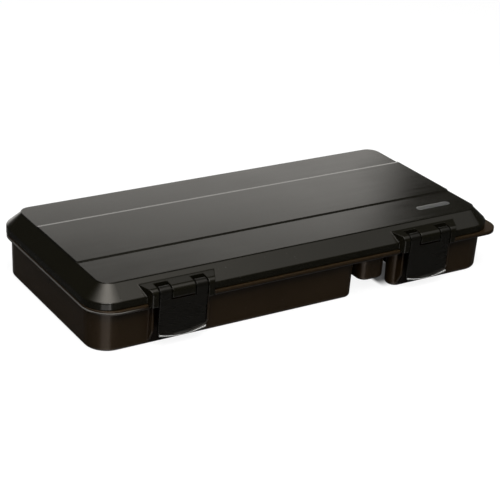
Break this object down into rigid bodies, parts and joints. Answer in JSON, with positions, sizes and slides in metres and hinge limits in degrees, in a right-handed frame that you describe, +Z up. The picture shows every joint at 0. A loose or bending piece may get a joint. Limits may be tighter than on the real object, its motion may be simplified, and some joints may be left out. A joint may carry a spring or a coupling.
{
  "type": "tackle box",
  "caption": "Flat moulded tackle box with a bevelled hinged lid, front snap latches, stepped wells under the rim and removable dividers inside.",
  "frame": {"origin": "on the underside of the large well, at the middle of the length and of the lid's flat top", "axes": "+X along the front towards the right, +Y from the latches towards the hinges, +Z up"},
  "size_m": [0.357, 0.1754, 0.051],
  "materials": {
    "base_plastic": "smoky very dark brown, moulded and slightly glossy",
    "lid_plastic": "satin black, fine moulded grain",
    "latch_plastic": "satin black, fine moulded grain",
    "divider_plastic": "smoky dark plastic sheet",
    "pin_steel": "drawn steel wire"
  },
  "bodies": {
    "base": {"base_tray": "base_plastic", "hinge_pin_left": "pin_steel", "hinge_pin_right": "pin_steel", "divider_1": "divider_plastic", "divider_2": "divider_plastic", "divider_3": "divider_plastic", "divider_4": "divider_plastic", "divider_5": "divider_plastic"},
    "lid": {"lid_shell": "lid_plastic", "latch_pin_left": "pin_steel", "latch_pin_right": "pin_steel"},
    "latch_left": {"front_latch_left": "latch_plastic"},
    "latch_right": {"front_latch_right": "latch_plastic"}
  },
  "joints": [
    {"name": "lid_hinge", "type": "hinge", "parent": "base", "child": "lid", "pos_m": [0, 0.0861, 0.0343], "axis": [-1, 0, 0], "range_deg": [0, 180]},
    {"name": "latch_left_hinge", "type": "hinge", "parent": "lid", "child": "latch_left", "pos_m": [-0.1089, -0.0822, 0.0417], "axis": [-1, 0, 0], "range_deg": [0, 130]},
    {"name": "latch_right_hinge", "type": "hinge", "parent": "lid", "child": "latch_right", "pos_m": [0.107, -0.0822, 0.0417], "axis": [-1, 0, 0], "range_deg": [0, 130]}
  ]
}
